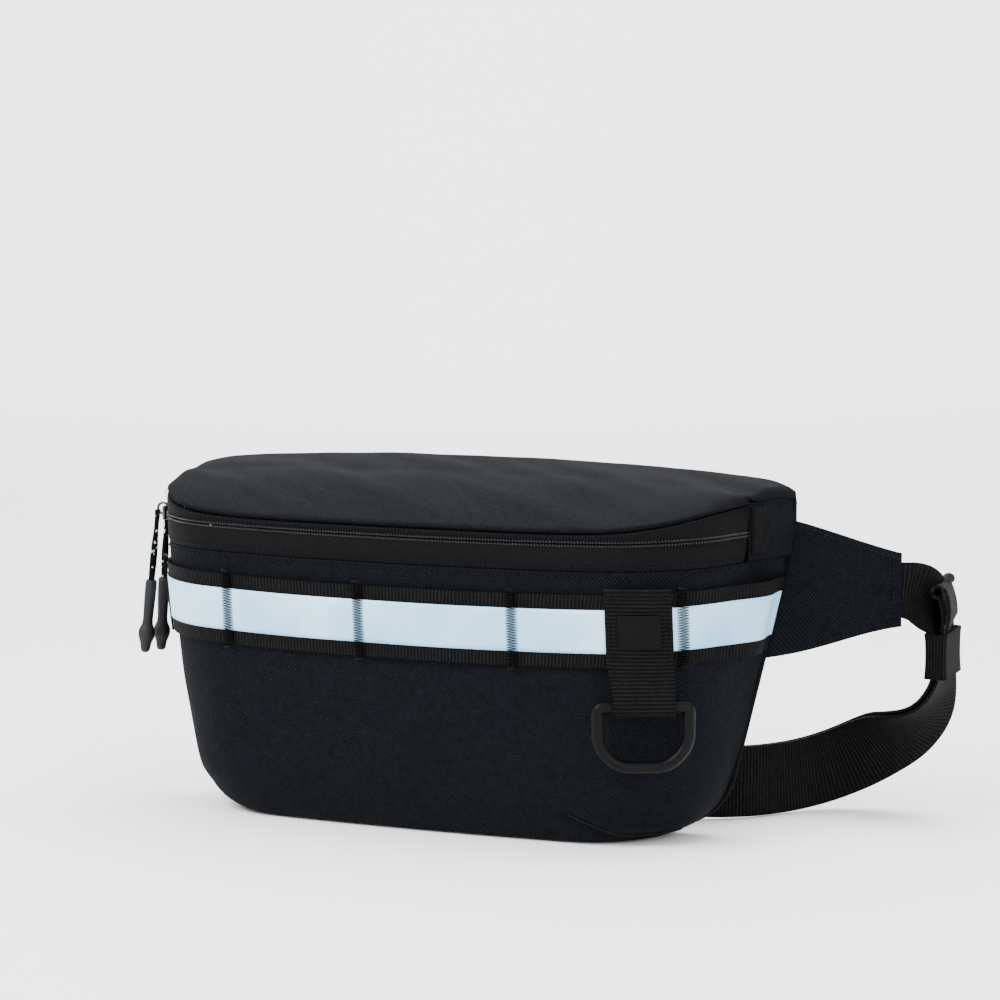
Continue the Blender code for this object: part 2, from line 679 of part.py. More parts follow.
def buckle():
    """Side-release buckle: a socket of two plates, a plug with a ladder bar, and two prongs."""
    middle = BUCKLE_Y
    black = (0.012, 0.012, 0.013)
    low, high = BELT_Z - 24.0, BELT_Z + 24.0
    socket = [
        ((-34.0, middle - 6.5, low + 1), (2.0, middle - 4.7, high - 1)),
        ((-34.0, middle + 4.7, low + 1), (2.0, middle + 6.5, high - 1)),
        ((-33.0, middle - 5.6, low + 2.5), (-27.0, middle + 5.6, high - 2.5)),
        ((-46.0, middle - 3.5, low), (-29.0, middle + 3.5, low + 4.2)),
        ((-46.0, middle - 3.5, high - 4.2), (-29.0, middle + 3.5, high)),
        ((LEFT_BAR_X - 1.1, middle - 1.1, low + 2), (LEFT_BAR_X + 1.1, middle + 1.1, high - 2)),
    ]
    framed("buckle_socket", socket, black, 0.4)
    plug = [
        ((4.6, middle - 4.0, low + 1), (14.0, middle + 4.0, high - 1)),
        ((12.0, middle - 7.5, low), (44.0, middle + 4.5, low + 3.8)),
        ((12.0, middle - 7.5, high - 3.8), (44.0, middle + 4.5, high)),
        ((BAR_X - 1.1, middle - 1.1, low + 2), (BAR_X + 1.1, middle + 1.1, high - 2)),
        ((40.0, middle - 7.4, low + 2), (43.6, middle - 5.3, high - 2)),
        ((-16.0, middle - 2.2, BELT_Z - 5), (6.0, middle + 2.2, BELT_Z + 5)),
    ]
    framed("buckle_plug", plug, black, 0.4, (BAR_X, middle, BELT_Z))
    for name, side in (("upper", 1), ("lower", -1)):
        pivot = (3.6, middle, BELT_Z + 14.0 * side)
        arm = sorted((BELT_Z + side * 12.0, BELT_Z + side * 16.0))
        barb = sorted((BELT_Z + side * 14.0, BELT_Z + side * 20.5))
        blocks = [
            ((-18.0, middle - 2.4, arm[0]), (4.0, middle + 2.4, arm[1])),
            ((-17.5, middle - 2.3, barb[0]), (-8.0, middle + 2.3, barb[1])),
        ]
        framed(f"{name}_prong", blocks, black, 0.4, pivot)


def clear_scene():
    for old in list(bpy.data.objects):
        bpy.data.objects.remove(old)


clear_scene()
PARTS = collection("waist_pack")
CUTTERS = collection("waist_pack_unions")
pouch()
zip_parts()
band_parts()
tab_parts()
pull("front", FRONT_SLIDER_AT, 6.0, CORNER_AXIS)
pull("rear", REAR_SLIDER_AT, 3.0, (0.0, 0.0, SLIDER_Z))
wings()
belt()
buckle()
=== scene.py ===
"""Waist pack with a reflective band, built over its CAD frame. Lengths in the code are millimetres."""
import json
import math

import bmesh
import bpy
from mathutils import Matrix, Vector, noise


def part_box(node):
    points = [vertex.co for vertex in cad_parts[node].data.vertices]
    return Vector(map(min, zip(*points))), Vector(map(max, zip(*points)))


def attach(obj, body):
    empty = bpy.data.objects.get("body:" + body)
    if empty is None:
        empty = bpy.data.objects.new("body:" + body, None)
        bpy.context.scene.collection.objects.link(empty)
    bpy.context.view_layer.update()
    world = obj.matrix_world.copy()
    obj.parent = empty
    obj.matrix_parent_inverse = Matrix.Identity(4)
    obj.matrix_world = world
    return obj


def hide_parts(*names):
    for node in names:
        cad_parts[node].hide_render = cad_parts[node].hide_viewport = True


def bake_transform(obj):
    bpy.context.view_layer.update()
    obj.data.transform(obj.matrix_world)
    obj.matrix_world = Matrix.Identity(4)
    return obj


MM = 0.001
UP = Vector((0, 0, 1))

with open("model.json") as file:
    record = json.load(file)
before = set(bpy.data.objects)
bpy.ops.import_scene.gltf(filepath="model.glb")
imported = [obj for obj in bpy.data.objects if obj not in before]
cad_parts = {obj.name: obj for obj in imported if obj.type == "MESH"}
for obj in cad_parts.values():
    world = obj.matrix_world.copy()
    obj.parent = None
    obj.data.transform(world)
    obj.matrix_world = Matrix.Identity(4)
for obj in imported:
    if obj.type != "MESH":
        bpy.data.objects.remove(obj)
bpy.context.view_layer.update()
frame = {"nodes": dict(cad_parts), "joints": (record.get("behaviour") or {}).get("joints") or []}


# ---------------------------------------------------------------- studio
# A pale paper sweep that runs flat under the pack and curves up behind it,
# large soft lamps, and a long lens from a little to the right and above.

def linear(code):
    """An sRGB hex colour as linear RGBA."""
    parts = [int(code[i:i + 2], 16) / 255 for i in (1, 3, 5)]
    return (*[c / 12.92 if c <= 0.04045 else ((c + 0.055) / 1.055) ** 2.4 for c in parts], 1.0)


def add_node(tree, kind, settings=None, links=None):
    """Adds a node. A setting is a property of the node or the value of one of its inputs."""
    made = tree.nodes.new(kind)
    for key, value in (settings or {}).items():
        if isinstance(key, str) and hasattr(made, key):
            setattr(made, key, value)
        else:
            made.inputs[key].default_value = value
    for key, source in (links or {}).items():
        tree.links.new(source, made.inputs[key])
    return made


def principled(name, colour, roughness):
    """A new material with its tree and its shader."""
    made = bpy.data.materials.new(name)
    made.use_nodes = True
    shader = made.node_tree.nodes["Principled BSDF"]
    shader.inputs["Base Color"].default_value = linear(colour)
    shader.inputs["Roughness"].default_value = roughness
    return made, made.node_tree, shader


camera_data = bpy.data.cameras.new("camera")
CAMERA_DOWN, CAMERA_TURN = math.radians(5.4508), math.radians(26.988)
camera_data.lens = 144.25
camera_data.clip_end = 20.0
camera = bpy.data.objects.new("camera", camera_data)
camera.location = (0.98534, -1.87188, 0.37364)
camera.rotation_euler = (math.pi / 2 - CAMERA_DOWN, 0, CAMERA_TURN)
bpy.context.scene.collection.objects.link(camera)
bpy.context.scene.camera = camera

# Matt seamless paper: rough, with no gloss at all
paper, _, paper_shader = principled("seamless_paper", "#F4F4F4", 0.95)
paper_shader.inputs["Specular IOR Level"].default_value = 0.1
sweep = bmesh.new()
FLAT, CURVE, BELOW = 4.0, 1.5, 0.0004
section = [(-7.0, 0.0), (FLAT, 0.0)]
section += [(FLAT + CURVE * math.sin(math.pi * i / 16), CURVE - CURVE * math.cos(math.pi * i / 16))
            for i in range(1, 9)]
section.append((FLAT + CURVE, 6.0))
rails = [[sweep.verts.new((side, y, z - BELOW)) for y, z in section] for side in (-9.0, 9.0)]
for i in range(len(section) - 1):
    sweep.faces.new((rails[0][i], rails[1][i], rails[1][i + 1], rails[0][i + 1]))
sweep_mesh = bpy.data.meshes.new("paper_sweep")
sweep.to_mesh(sweep_mesh)
sweep.free()
sweep_mesh.materials.append(paper)
sweep_mesh.shade_smooth()
backdrop = bpy.data.objects.new("paper_sweep", sweep_mesh)
backdrop.rotation_euler.z = CAMERA_TURN
bpy.context.scene.collection.objects.link(backdrop)

world = bpy.data.worlds.new("studio")
world.use_nodes = True
world.node_tree.nodes["Background"].inputs["Color"].default_value = linear("#F4F6FA")
world.node_tree.nodes["Background"].inputs["Strength"].default_value = 1.95
bpy.context.scene.world = world

for name, place, target, size, power in (
    ("key_lamp", (-0.7, -1.5, 1.6), (0, 0, 0.1), 1.1, 80.0),
    ("fill_lamp", (1.9, -1.2, 0.9), (0, 0, 0.1), 1.2, 28.0),
    ("top_lamp", (0.2, 0.6, 1.9), (0, 0, 0.1), 1.5, 46.0),
    ("paper_lamp", (-1.7, 3.3, 2.8), (-2.0, 4.2, 0.0), 2.6, 190.0),
):
    lamp = bpy.data.lights.new(name, "AREA")
    lamp.size = size
    lamp.energy = power
    made = bpy.data.objects.new(name, lamp)
    made.location = place
    made.rotation_euler = (Vector(target) - Vector(place)).to_track_quat("-Z", "Y").to_euler()
    bpy.context.scene.collection.objects.link(made)


# ---------------------------------------------------------------- front wall
# One piece of coated oxford cloth wrapped round the front and both sides, from the
# base to the zip. It is sewn to the base all round, and sags a little over the seam.

ZIP_Z = 157.0


def level(z):
    """The pouch at height z: half-widths at the back and front, and the front's and back's Y."""
    rise = min(z / ZIP_Z, 1.0)
    low = max(0.0, 1.0 - z / 30.0)
    tuck = 1.0 - math.sqrt(1.0 - low * low)
    return (147 + 30 * rise - 34 * tuck, 160 - 3 * rise - 34 * tuck,
            -35 - 13 * rise + 13 * tuck, 28 + 26 * rise - 6 * tuck)


def right_half(z):
    """The outline's right half, from the back edge round the corner to the middle of the front."""
    back_half, front_half, front, back = level(z)
    side = Vector((back_half - front_half, back - front))
    turn = math.atan2(side.y, side.x)
    slope = math.tan((math.pi - turn) / 2)
    radius = min(50.0, 0.9 * side.length * slope)
    centre = Vector((front_half - radius / slope, front + radius))
    points = [Vector((back_half, back))]
    for step in range(25):
        angle = turn - math.pi / 2 - turn * step / 24
        points.append(centre + Vector((math.cos(angle), math.sin(angle))) * radius)
    points += [Vector((points[-1].x * (1 - step / 12), front)) for step in range(1, 13)]
    for point in points:
        point.y -= 8.0 * max(0.0, 1.0 - (point.x / front_half) ** 2)
    return points


def length_of(points):
    return sum((b - a).length for a, b in zip(points, points[1:]))


def on_wall(along, z, out=0.0, left=False):
    """The point this far round the wall from its back edge, moved out from it, and its normal."""
    points = right_half(z)
    whole = length_of(points)
    far = along > whole
    left_over = min(2 * whole - along if far else along, whole - 1e-6)
    for here, there in zip(points, points[1:]):
        step = (there - here).length
        if left_over <= step:
            break
        left_over -= step
    run = (there - here) / step
    spot = here + run * left_over
    flip = -1 if far != left else 1
    normal = Vector((-run.y, run.x))
    place = spot + normal * out
    return Vector((place.x * flip, place.y, z)), Vector((normal.x * flip, normal.y, 0))


def from_middle(across, z, out=0.0):
    """The point this far to the right of the front's middle, or to the left if it is negative."""
    return on_wall(length_of(right_half(z)) - abs(across), z, out, across < 0)


def lifted(x, z, lift):
    """Lines round the tapering pouch rise towards its sides."""
    return z + lift * (abs(x) / 177) ** 2.5


def wall_row(z, out, start, count, lift=0.0, bulge=None):
    """One row round the wall, from the right back edge to the left one."""
    row = []
    whole = 2 * length_of(right_half(z))
    for i in range(count):
        along = start + (whole - 2 * start) * i / (count - 1)
        spot, _ = on_wall(along, z, out + (bulge(along, whole, z) if bulge else 0.0))
        row.append(Vector((spot.x, spot.y, lifted(spot.x, z, lift))))
    return row


def cloth(name, rows, material, body, replaced=(), thickness=0.0, side=-1.0, levels=2, ring=False):
    """A sheet through rows of points, with its lengths of cloth in mm as a UV map.
    Subdivision rounds it and Solidify gives it its thickness."""
    count = len(rows[0])
    mesh = bpy.data.meshes.new(name)
    columns = range(count if ring else count - 1)
    faces = [(r * count + i, r * count + (i + 1) % count,
              (r + 1) * count + (i + 1) % count, (r + 1) * count + i)
             for r in range(len(rows) - 1) for i in columns]
    mesh.from_pydata([point * MM for row in rows for point in row], [], faces)
    middle = rows[len(rows) // 2]
    along = [0.0]
    for here, there in zip(middle, [*middle[1:], middle[0]]):
        along.append(along[-1] + (there - here).length)
    across = [0.0]
    for low, high in zip(rows, rows[1:]):
        across.append(across[-1] + (high[count // 2] - low[count // 2]).length)
    uv = mesh.uv_layers.new(name="cloth")
    for face, (r, i) in zip(mesh.polygons, [(r, i) for r in range(len(rows) - 1) for i in columns]):
        corners = ((along[i], across[r]), (along[i + 1], across[r]),
                   (along[i + 1], across[r + 1]), (along[i], across[r + 1]))
        for loop, corner in zip(face.loop_indices, corners):
            uv.data[loop].uv = corner
    mesh.materials.append(material)
    mesh.shade_smooth()
    made = bpy.data.objects.new(name, mesh)
    bpy.context.scene.collection.objects.link(made)
    if levels:
        smooth = made.modifiers.new("Rounded", "SUBSURF")
        smooth.levels = smooth.render_levels = levels
        smooth.boundary_smooth = "PRESERVE_CORNERS"
    if thickness:
        shell = made.modifiers.new("Thickness", "SOLIDIFY")
        shell.thickness = thickness * MM
        shell.offset = side
    if body:
        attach(made, body)
    if replaced:
        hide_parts(*replaced)
    return made


def woven(name, ground, thread, pitch, style="plain", roughness=0.85, depth=0.25, gloss=0.06,
          fleck=None):
    """Cloth whose threads follow its UV map in mm: plain weave, ribs across it, or a braid."""
    made, tree, shader = principled(name, ground, roughness)
    shader.inputs["Specular IOR Level"].default_value = gloss
    lengths = add_node(tree, "ShaderNodeUVMap", {"uv_map": "cloth"})
    sides = add_node(tree, "ShaderNodeSeparateXYZ", links={0: lengths.outputs[0]})
    along, over = sides.outputs[0], sides.outputs[1]
    if style == "braid":
        turned = [add_node(tree, "ShaderNodeMath", {"operation": kind}, {0: along, 1: over})
                  for kind in ("ADD", "SUBTRACT")]
        along, over = turned[0].outputs[0], turned[1].outputs[0]
    waves = []
    for source, spacing in ((along, pitch[0]), (over, pitch[1])):
        turns = add_node(tree, "ShaderNodeMath", {"operation": "MULTIPLY", 1: math.tau / spacing},
                         {0: source})
        waves.append(add_node(tree, "ShaderNodeMath", {"operation": "SINE"}, {0: turns.outputs[0]}))
    if style == "ribs":
        fine = add_node(tree, "ShaderNodeMath", {"operation": "MULTIPLY", 1: 0.3},
                        {0: waves[1].outputs[0]})
        joined = add_node(tree, "ShaderNodeMath", {"operation": "ADD"},
                          {0: waves[0].outputs[0], 1: fine.outputs[0]})
    else:
        joined = add_node(tree, "ShaderNodeMath", {"operation": "MULTIPLY"},
                          {0: waves[0].outputs[0], 1: waves[1].outputs[0]})
    height = add_node(tree, "ShaderNodeMath", {"operation": "MULTIPLY_ADD", 1: 0.5, 2: 0.5},
                      {0: joined.outputs[0]})
    place = add_node(tree, "ShaderNodeTexCoord")
    uneven = add_node(tree, "ShaderNodeTexNoise", {"Scale": 240.0, "Detail": 3.0},
                      {"Vector": place.outputs["Object"]})
    # Painted highlight: the lighter thread colour, spread unevenly over the threads' crowns, stands for
    # light catching the raised threads
    painted_crown_highlight = add_node(tree, "ShaderNodeMath", {"operation": "POWER", 1: 2.5},
                      {0: height.outputs[0]})
    share = add_node(tree, "ShaderNodeMath", {"operation": "MULTIPLY"},
                     {0: painted_crown_highlight.outputs[0], 1: uneven.outputs["Fac"]})
    colour = add_node(tree, "ShaderNodeMix", {"data_type": "RGBA"}, {0: share.outputs[0]})
    colour.inputs[6].default_value = linear(ground)
    colour.inputs[7].default_value = linear(thread)
    result = colour.outputs[2]
    if fleck:
        dots = add_node(tree, "ShaderNodeTexNoise", {"Scale": 520.0, "Detail": 0.0},
                        {"Vector": place.outputs["Object"]})
        few = add_node(tree, "ShaderNodeMath", {"operation": "GREATER_THAN", 1: 0.68},
                       {0: dots.outputs["Fac"]})
        flecked = add_node(tree, "ShaderNodeMix", {"data_type": "RGBA"},
                           {0: few.outputs[0], 6: result})
        flecked.inputs[7].default_value = linear(fleck)
        result = flecked.outputs[2]
    tree.links.new(result, shader.inputs["Base Color"])
    bump = add_node(tree, "ShaderNodeBump", {"Strength": 1.0, "Distance": depth * MM},
                    {"Height": height.outputs[0]})
    tree.links.new(bump.outputs[0], shader.inputs["Normal"])
    return made


# Coated oxford nylon: a plain weave with threads every 0.6 mm, drawn at 1.8 mm so that it
# shows. Blue-black and matt; the lighter thread crowns are a painted highlight.
oxford = woven("oxford_nylon", "#020203", "#1D242D", (1.8, 1.8), depth=0.5)


def puckered(along, whole, z):
    """The wall's soft sag and folds, out from its even form, fading behind the band and zip."""
    free = math.sin(math.pi * min(max((z - 4) / 84, 0), 1)) ** 0.7
    free += 0.35 * math.sin(math.pi * min(max((z - 130) / 14, 0), 1))
    across = along - whole / 2
    lump = noise.noise(Vector((across / 46, z / 34, 3.1))) * 2.0
    lump += noise.noise(Vector((across / 17 + z / 30, z / 22, 7.7))) * 0.7
    seam = 4.5 + 12.0 * min(max((118 + across) / 28, 0), 1)
    held = min(max((-86 - across) / 6, 0), 1) * min(max((168 + across) / 20, 0), 1)
    pinch = 2.2 * math.exp(-((z - seam - 5.5) / 3.5) ** 2) - 3.2 * math.exp(-((z - seam) / 1.9) ** 2)
    return lump * free + pinch * held


heights = (0.9, 2.4, 4, 6, 8, 10, 12, 14, 16, 19, 23, 30, 38, 48, 60, 72, 83, 92, 112, 131, 137, 141, 143)
wall_rows = [wall_row(z, 0.0, 0.0, 91, 3.0 if z > 140 else 0.0, puckered) for z in heights]
cloth("front_wall_cloth", wall_rows[::-1], oxford, "pouch", ["front_wall"], 1.6)

# The base is the same cloth, turned in along its edge and stitched to the wall.
base_ring = wall_row(1.7, 0.0, 0.0, 91)[::-1]
base_middle = Vector((0, 0, 1.9))
cloth("base_cloth", [[base_middle.lerp(point, share) for point in base_ring]
                     for share in (0.03, 0.35, 0.7, 0.92, 0.985)],
      oxford, "pouch", ["base_panel"], 1.5, -1.0, 1, True)


# ---------------------------------------------------------------- lining and back
# A thin grey lining hangs inside the wall. The back is foam between the outer cloth,
# quilted into three flat pads, and more lining.

# Polyester lining: a fine plain weave, drawn at 1.2 mm, mid grey so that contents show
lining = woven("polyester_lining", "#34353A", "#5A5C63", (1.2, 1.2), roughness=0.6)
# Closed-cell polyethylene foam: matt grey with fine cells
foam, foam_tree, foam_shader = principled("polyethylene_foam", "#5E6064", 0.9)
foam_place = add_node(foam_tree, "ShaderNodeTexCoord")
cells = add_node(foam_tree, "ShaderNodeTexVoronoi", {"Scale": 900.0},
                 {"Vector": foam_place.outputs["Object"]})
cell_bump = add_node(foam_tree, "ShaderNodeBump", {"Strength": 0.6, "Distance": 0.3 * MM},
                     {"Height": cells.outputs["Distance"]})
foam_tree.links.new(cell_bump.outputs[0], foam_shader.inputs["Normal"])



def hung(along, _, z):
    """The lining's shallow waves."""
    return 0.7 * noise.noise(Vector((along / 20, z / 30, 1.3)))


lining_rows = [wall_row(z, -3.3, 12.0, 61, 3.0 if z == 141 else 0.0, hung)
               for z in (16, 22, 30, 46, 62, 80, 100, 120, 132, 141)]
cloth("wall_lining", lining_rows[::-1], lining, "pouch", ["lining"], 0.6, levels=1)


def back_edge_z(x):
    return 190.0 - 7.0 * (abs(x) / 175) ** 2.5


def back_layer(name, material, node, deep, thick, inset, puff, levels):
    """One layer of the back, standing out between the quilting by puff."""
    rows = []
    for step in range(25):
        share = step / 24
        row = []
        for column in range(29):
            across = -1 + column / 14
            z = 4.8 + share * (back_edge_z(across * 170) - 8.0)
            half = level(z)[0] - inset
            pad = abs(math.sin(math.pi * share * 3)) ** 0.4 * (1 - abs(across) ** 8)
            row.append(Vector((across * half, level(z)[3] - deep - thick / 2 + puff * pad, z)))
        rows.append(row)
    cloth(name, rows, material, "pouch", [node], thick, 0.0, levels)


back_layer("back_cloth", oxford, "back_panel", 0.0, 1.8, 1.0, 2.6, 1)
back_layer("back_foam_sheet", foam, "back_foam", 2.6, 5.2, 8.0, 0.0, 0)
back_layer("back_lining_cloth", lining, "back_lining", 8.8, 0.8, 9.0, 0.0, 0)


# ---------------------------------------------------------------- top
# The top is cut from the same cloth. Its front part runs from the zip's upper tape up to a line
# across the pouch over the lid's hinge, and the sides behind the zip's ends are closed by gussets.

LID_AXIS = next(Vector(j["pos_m"]) for j in frame["joints"] if j["name"] == "lid_hinge")
FOLD_Y = LID_AXIS.y / MM
FOLD_Z = LID_AXIS.z / MM - 2.2
ZIP_END = 42.0
ZIP_LIFT = 3.0


def rim_z(x):
    return 162.4 + 14.0 * (abs(x) / 170) ** 6


def fold_z(x):
    return FOLD_Z - 5.0 * (abs(x) / 170) ** 2.5


def shoulder(x):
    """How far the top's ends round down towards the gussets."""
    return 5.5 * (max(abs(x) / 180 - 0.88, 0.0) / 0.12) ** 2


def creased(point):
    """Soft diagonal wrinkles across the top."""
    slant = (point.x * 0.55 + point.y) / 15
    rise = noise.noise(Vector((slant, point.x / 90, 4.2))) * 2.5
    rise += noise.noise(Vector((point.x / 50, point.y / 40, 9.1))) * 0.9
    return rise


rim = wall_row(ZIP_Z, -1.0, ZIP_END, 81)
top_rows = []
for step in range(17):
    share = min(step / 10, 1.0)
    behind = max(step - 10, 0) / 6
    row = []
    for spot in rim:
        x = spot.x * (1 + 0.045 * behind)
        y = spot.y + (FOLD_Y - spot.y) * share + (level(ZIP_Z)[3] - FOLD_Y) * behind
        z = rim_z(x) + 0.2 + (fold_z(x) - rim_z(x) - 0.2) * (1 - (1 - share) ** 1.6)
        z += (back_edge_z(x) - fold_z(x)) * behind ** 0.8
        z -= shoulder(x) * behind
        z += creased(Vector((x, y, 0))) * math.sin(math.pi * min(step, 15.5) / 16) ** 0.6
        row.append(Vector((x, y, z)))
    turn_down = min(behind * 4, 1.0)
    for end, way in ((0, 1), (-1, -1)):
        edge = row[end] + Vector((0.5 * way, 0, -3.6)) * turn_down + Vector((0.1 * way, 0, -0.1))
        row.insert(0 if end == 0 else len(row), edge)
    top_rows.append(row)
top_rows.append([point + Vector((0, 1.4, -3.6)) for point in top_rows[-1]])
top = cloth("top_cloth", top_rows, oxford, None, ["top_panel", "top_rear_panel"], 2.0, -1.0, 1)
with bpy.context.temp_override(object=top):
    for modifier in list(top.modifiers):
        bpy.ops.object.modifier_apply(modifier=modifier.name)
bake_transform(top)

for side, flip in (("right", 1), ("left", -1)):
    gusset_rows = []
    for share in (0.0, 0.25, 0.5, 0.75, 1.0):
        row = []
        for step in range(9):
            along = 0.4 + (ZIP_END - 1) * step / 8
            spot, normal = on_wall(along, ZIP_Z, 0.7 * math.sin(math.pi * share))
            low = lifted(spot.x, 143.0, ZIP_LIFT) + 0.4
            behind = min(max((spot.y - FOLD_Y) / (level(ZIP_Z)[3] - FOLD_Y), 0.0), 1.0)
            high = fold_z(spot.x) + (back_edge_z(spot.x) - fold_z(spot.x)) * behind
            high -= 0.3 + 2.0 * (1 - behind) + shoulder(spot.x) * behind
            row.append(Vector((spot.x * flip, spot.y, low + (high - low) * share)))
        gusset_rows.append(row)
    cloth(f"{side}_gusset_cloth", gusset_rows[::-flip], oxford, "pouch", [f"{side}_gusset"], 1.8)


# ---------------------------------------------------------------- zip
# A coil zip, sewn in with its coil inside: two woven tapes meet over it. Each edge of cloth
# is folded back along its tape and topstitched. A patch covers each end.

# Polyester zip tape: a fine herringbone, drawn as 1.5 mm ribs; neutral black
tape = woven("polyester_zip_tape", "#030304", "#161617", (1.5, 1.5), roughness=0.75)
# Bonded nylon thread: black and nearly matt
thread, _, thread_shader = principled("nylon_thread", "#030303", 0.6)
thread_shader.inputs["Specular IOR Level"].default_value = 0.12
# Nylon coil: round monofilament, black and satin
coil_nylon, _, _ = principled("nylon_coil", "#060607", 0.4)


def stitches(name, path, body, normals, length=2.6, gap=0.9, radius=0.32, material=thread):
    """A row of thread stitches along a path of points, each one a small pointed bar."""
    form = bmesh.new()
    travelled = [0.0]
    for here, there in zip(path, path[1:]):
        travelled.append(travelled[-1] + (there - here).length)

    def at(distance):
        for i in range(len(path) - 1):
            if distance <= travelled[i + 1] or i == len(path) - 2:
                share = (distance - travelled[i]) / max(travelled[i + 1] - travelled[i], 1e-6)
                return path[i].lerp(path[i + 1], share), normals[i].lerp(normals[i + 1], share)

    start = 0.0
    while start + length <= travelled[-1]:
        (first, out), (last, _) = at(start), at(start + length)
        run = (last - first).normalized()
        out = (out - run * out.dot(run)).normalized()
        side = run.cross(out)
        ends = [form.verts.new((first - out * radius) * MM)]
        rings = []
        for share in (0.22, 0.78):
            middle = first.lerp(last, share)
            rings.append([form.verts.new((middle + (out * a + side * b) * radius) * MM)
                          for a, b in ((1, 0), (0, 1), (-1, 0), (0, -1))])
        ends.append(form.verts.new((last - out * radius) * MM))
        for i in range(4):
            j = (i + 1) % 4
            form.faces.new((ends[0], rings[0][j], rings[0][i]))
            form.faces.new((rings[0][i], rings[0][j], rings[1][j], rings[1][i]))
            form.faces.new((ends[1], rings[1][i], rings[1][j]))
        start += length + gap
    bmesh.ops.recalc_face_normals(form, faces=form.faces)
    mesh = bpy.data.meshes.new(name)
    form.to_mesh(mesh)
    form.free()
    mesh.materials.append(material)
    mesh.shade_smooth()
    made = bpy.data.objects.new(name, mesh)
    bpy.context.scene.collection.objects.link(made)
    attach(made, body)
    return made


def wall_line(z, out, start, lift, count=161):
    """Points and normals along the wall at one height, for a row of stitches."""
    whole = 2 * length_of(right_half(z))
    spots = [on_wall(start + (whole - 2 * start) * i / (count - 1), z, out) for i in range(count)]
    return ([Vector((p.x, p.y, lifted(p.x, z, lift))) for p, _ in spots], [n for _, n in spots])


split = ZIP_Z + 0.4
low_tape = [wall_row(z, out, ZIP_END, 81, ZIP_LIFT)
            for z, out in ((143.4, -0.2), (144.4, 0.3), (150, 0.3), (154.4, 0.1), (156.6, -1.0))]
cloth("lower_tape", low_tape[::-1], tape, "pouch", ["lower_zip_tape"], 0.8, levels=1)
high_tape = [wall_row(z, out, ZIP_END, 81, ZIP_LIFT) for z, out in ((158.2, -1.0), (159.6, 0.0))]
for out, rise in ((0.2, 0.4), (-1.4, -0.9), (-4.0, -1.0)):
    high_tape.append([Vector((p.x, p.y, rim_z(p.x) + rise))
                      for p in wall_row(split, out, ZIP_END, 81)])
cloth("upper_tape", high_tape[::-1], tape, "lid", ["upper_zip_tape"], 0.8, levels=1)

for name, height, body, node in (
    ("lower_coil", split - 0.9, "pouch", "lower_zip_coil"),
    ("upper_coil", split + 0.9, "lid", "upper_zip_coil"),
):
    whole = 2 * length_of(right_half(height)) - 2 * ZIP_END
    turns = int(whole / 1.7)
    winding = bpy.data.curves.new(name, "CURVE")
    winding.dimensions = "3D"
    winding.bevel_depth = 0.3 * MM
    winding.bevel_resolution = 0
    spline = winding.splines.new("POLY")
    spline.points.add(turns * 5 - 1)
    for i, point in enumerate(spline.points):
        angle = math.tau * i / 5
        spot, _ = on_wall(ZIP_END + whole * i / (turns * 5 - 1), height, -0.6 + 0.75 * math.cos(angle))
        z = lifted(spot.x, height, ZIP_LIFT) + 0.6 * math.sin(angle)
        point.co = (*(Vector((spot.x, spot.y, z)) * MM), 1)
    winding.materials.append(coil_nylon)
    made = bpy.data.objects.new(name, winding)
    bpy.context.scene.collection.objects.link(made)
    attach(made, body)
    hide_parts(node)

path, normals = wall_line(140.6, 0.35, ZIP_END, ZIP_LIFT)
stitches("lower_topstitch", path, "pouch", normals)
path, normals = wall_line(145.6, 0.75, ZIP_END, ZIP_LIFT)
stitches("lower_tape_stitch", path, "pouch", normals, 2.2, 0.8, 0.25)
path = [Vector((p.x, p.y, rim_z(p.x) - 1.2)) for p in wall_line(ZIP_Z, 0.75, ZIP_END, ZIP_LIFT)[0]]
stitches("upper_tape_stitch", path, "lid", normals, 2.2, 0.8, 0.25)

for side, flip in (("right", 1), ("left", -1)):
    rows = []
    for z in (150.0, 151.0, 157.0, 163.0, 169.0, 173.0, 174.0):
        row = []
        for step in range(7):
            edge = 0.6 if z in (150.0, 174.0) or step in (0, 6) else 0.0
            spot, _ = on_wall(ZIP_END - 14 + 2 * step, ZIP_Z, 1.3 - edge)
            row.append(Vector((spot.x * flip, spot.y, z)))
        rows.append(row)
    cloth(f"{side}_end_patch", rows[::-flip], tape, "pouch", [f"{side}_zip_end"], 1.2, 0.0)
    frame_path, frame_normals = [], []
    for along, z in ((-12.4, 151.6), (-3.6, 151.6), (-3.6, 172.4), (-12.4, 172.4), (-12.4, 151.6)):
        spot, normal = on_wall(ZIP_END + along, ZIP_Z, 2.1)
        frame_path.append(Vector((spot.x * flip, spot.y, z)))
        frame_normals.append(Vector((normal.x * flip, normal.y, 0)))
    stitches(f"{side}_patch_stitch", frame_path, "pouch", frame_normals, 1.8, 0.7, 0.28)


# ---------------------------------------------------------------- back seam
# The seam that joins the wall, the gussets and the top to the back is bound in the zip's
# tape, folded over the raw edges and sewn through.

def tube(name, path, radii, material, body, sides=12, replaced=()):
    """A closed tube along a path, with the lengths along and round it as a UV map in mm."""
    rows = []
    across = None
    for i, spot in enumerate(path):
        ahead = (path[min(i + 1, len(path) - 1)] - path[max(i - 1, 0)]).normalized()
        across = across or ahead.orthogonal()
        across = (across - ahead * across.dot(ahead)).normalized()
        other = ahead.cross(across)
        rows.append([spot + (across * math.cos(math.tau * k / sides)
                             + other * math.sin(math.tau * k / sides)) * radii[i]
                     for k in range(sides)])
    made = cloth(name, rows, material, body, replaced, levels=0, ring=True)
    form = bmesh.new()
    form.from_mesh(made.data)
    bmesh.ops.holes_fill(form, edges=[e for e in form.edges if e.is_boundary])
    bmesh.ops.recalc_face_normals(form, faces=form.faces)
    form.to_mesh(made.data)
    form.free()
    return made


